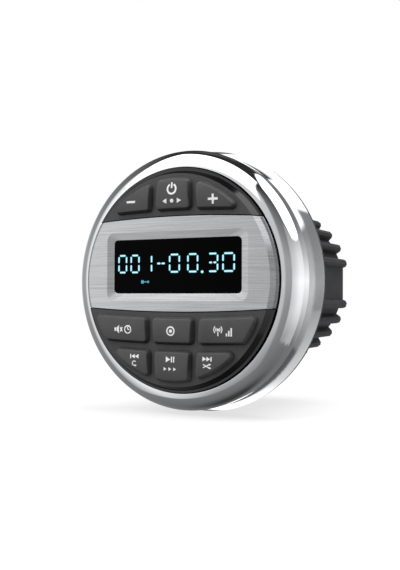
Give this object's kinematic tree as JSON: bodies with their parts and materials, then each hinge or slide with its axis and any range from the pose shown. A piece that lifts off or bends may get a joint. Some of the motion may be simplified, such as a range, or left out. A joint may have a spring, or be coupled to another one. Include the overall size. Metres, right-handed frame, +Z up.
{
  "type": "marine stereo",
  "caption": "Round panel-mounted marine stereo: chrome ring, brushed face with a display window, sprung rubber push keys, and a ribbed housing behind the panel.",
  "frame": {"origin": "on the housing's axis in the panel plane, at the rear face of the panel gasket", "axes": "+Y along the axis, back through the panel; the face looks towards -Y; +Z up; +X to the right of the face"},
  "size_m": [0.115, 0.1191, 0.115],
  "materials": {
    "bright_chrome": "polished chrome plate",
    "satin_chrome": "satin chrome plate",
    "brushed_silver": "brushed along the band",
    "mat_rubber": "matt moulded rubber",
    "key_rubber": "matt moulded rubber",
    "window_lens": "smoked gloss window",
    "display_glass": "segment display",
    "light_guide": "milky plastic",
    "case_plastic": "black moulded plastic",
    "membrane_film": "thin silicone sheet",
    "carbon_rubber": "conductive rubber",
    "gold_contact": "gold plated",
    "circuit_board": "green solder mask",
    "chip_package": "moulded package",
    "socket_plastic": "natural nylon",
    "ribbon_film": "flat ribbon",
    "screw_steel": "stainless steel",
    "housing_black": "black moulded ribs",
    "cover_plastic": "black moulded plastic",
    "seal_rubber": "soft black rubber",
    "socket_metal": "nickel plated brass",
    "white_plastic": "white plastic",
    "red_plastic": "red plastic",
    "plain_aluminium": "plain rolled sheet",
    "tinned_can": "tinned steel",
    "capacitor_sleeve": "shrink sleeve",
    "choke_copper": "enamelled copper"
  },
  "bodies": {
    "housing": {"chrome_bezel": "bright_chrome", "bezel_skirt": "satin_chrome", "panel_gasket": "seal_rubber", "bezel_seal": "seal_rubber", "fascia_plate": "brushed_silver", "upper_key_mat": "mat_rubber", "lower_key_mat": "mat_rubber", "display_lens": "window_lens", "display_panel": "display_glass", "display_holder": "light_guide", "face_carrier": "case_plastic", "contact_membrane": "membrane_film", "contact_pads": "gold_contact", "control_board": "circuit_board", "logic_chips": "chip_package", "ribbon_sockets": "socket_plastic", "link_ribbon": "ribbon_film", "front_case": "case_plastic", "face_screws": "screw_steel", "housing_screws": "screw_steel", "rear_housing": "housing_black", "rear_cover": "cover_plastic", "rear_cover_seal": "seal_rubber", "rear_cover_screws": "screw_steel", "mounting_studs": "screw_steel", "power_inlet": "case_plastic", "inlet_pins": "gold_contact", "antenna_socket": "socket_metal", "antenna_insulator": "light_guide", "line_out_left": "white_plastic", "line_out_right": "red_plastic", "chassis_plate": "plain_aluminium", "chassis_screws": "screw_steel", "board_standoffs": "socket_metal", "main_board": "circuit_board", "board_screws": "screw_steel", "heat_sink": "plain_aluminium", "amplifier_chip": "chip_package", "tuner_module": "tinned_can", "capacitors": "capacitor_sleeve", "power_choke": "choke_copper"},
    "volume_down_button": {"volume_down_key": "key_rubber", "volume_down_pill": "carbon_rubber"},
    "power_button": {"power_key": "key_rubber", "power_pill": "carbon_rubber"},
    "volume_up_button": {"volume_up_key": "key_rubber", "volume_up_pill": "carbon_rubber"},
    "mute_button": {"mute_key": "key_rubber", "mute_pill": "carbon_rubber"},
    "select_button": {"select_key": "key_rubber", "select_pill": "carbon_rubber"},
    "band_button": {"band_key": "key_rubber", "band_pill": "carbon_rubber"},
    "previous_button": {"previous_key": "key_rubber", "previous_pill": "carbon_rubber"},
    "play_button": {"play_key": "key_rubber", "play_pill": "carbon_rubber"},
    "next_button": {"next_key": "key_rubber", "next_pill": "carbon_rubber"}
  },
  "joints": [
    {"name": "volume_down_press", "type": "slide", "parent": "housing", "child": "volume_down_button", "axis": [0, 1, 0], "range_m": [0, 0.0012], "stiffness_N_per_m": 1000},
    {"name": "power_press", "type": "slide", "parent": "housing", "child": "power_button", "axis": [0, 1, 0], "range_m": [0, 0.0012], "stiffness_N_per_m": 1000},
    {"name": "volume_up_press", "type": "slide", "parent": "housing", "child": "volume_up_button", "axis": [0, 1, 0], "range_m": [0, 0.0012], "stiffness_N_per_m": 1000},
    {"name": "mute_press", "type": "slide", "parent": "housing", "child": "mute_button", "axis": [0, 1, 0], "range_m": [0, 0.0012], "stiffness_N_per_m": 1000},
    {"name": "select_press", "type": "slide", "parent": "housing", "child": "select_button", "axis": [0, 1, 0], "range_m": [0, 0.0012], "stiffness_N_per_m": 1000},
    {"name": "band_press", "type": "slide", "parent": "housing", "child": "band_button", "axis": [0, 1, 0], "range_m": [0, 0.0012], "stiffness_N_per_m": 1000},
    {"name": "previous_press", "type": "slide", "parent": "housing", "child": "previous_button", "axis": [0, 1, 0], "range_m": [0, 0.0012], "stiffness_N_per_m": 1000},
    {"name": "play_press", "type": "slide", "parent": "housing", "child": "play_button", "axis": [0, 1, 0], "range_m": [0, 0.0012], "stiffness_N_per_m": 1000},
    {"name": "next_press", "type": "slide", "parent": "housing", "child": "next_button", "axis": [0, 1, 0], "range_m": [0, 0.0012], "stiffness_N_per_m": 1000}
  ]
}
